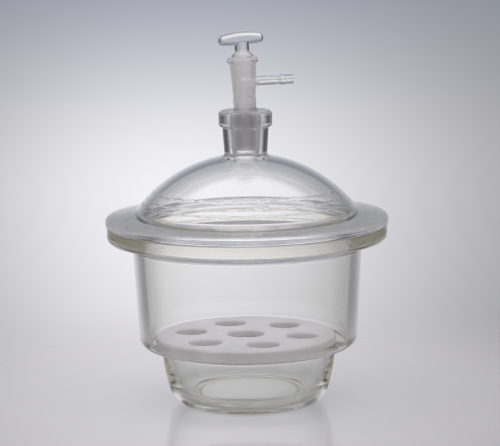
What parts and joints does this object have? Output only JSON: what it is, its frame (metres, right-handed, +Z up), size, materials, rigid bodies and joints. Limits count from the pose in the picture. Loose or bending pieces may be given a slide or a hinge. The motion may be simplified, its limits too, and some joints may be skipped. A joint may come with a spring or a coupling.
{
  "type": "glass desiccator",
  "caption": "Laboratory vacuum desiccator of clear glass with a perforated plate, a domed flanged lid and a stopcock with a hose arm.",
  "frame": {"origin": "centre of the foot, on the plane the vessel stands on", "axes": "+Z up along the vessel's axis, +X along the stopcock's hose arm"},
  "size_m": [0.27, 0.27, 0.3557],
  "materials": {
    "clear_glass": "clear pressed glass, ground matt on the sealing faces",
    "stopcock_glass": "clear glass over ground matt tapers",
    "white_porcelain": "white glazed porcelain"
  },
  "bodies": {
    "base": {"base_vessel": "clear_glass"},
    "plate": {"porcelain_plate": "white_porcelain"},
    "lid": {"lid_dome": "clear_glass"},
    "stopcock": {"stopcock_barrel": "stopcock_glass"},
    "plug": {"stopcock_plug": "stopcock_glass"}
  },
  "joints": [
    {"name": "plate_lift", "type": "slide", "parent": "base", "child": "plate", "axis": [0, 0, 1], "range_m": [0, 0.09]},
    {"name": "lid_lift", "type": "slide", "parent": "base", "child": "lid", "axis": [0, 0, 1], "range_m": [0, 0.2]},
    {"name": "stopcock_swivel", "type": "hinge", "parent": "lid", "child": "stopcock", "pos_m": [0, 0, 0.2635], "axis": [0, 0, 1], "continuous": true},
    {"name": "plug_turn", "type": "hinge", "parent": "stopcock", "child": "plug", "pos_m": [0, 0, 0.2835], "axis": [-0.0384, 0, 0.9993], "continuous": true}
  ]
}
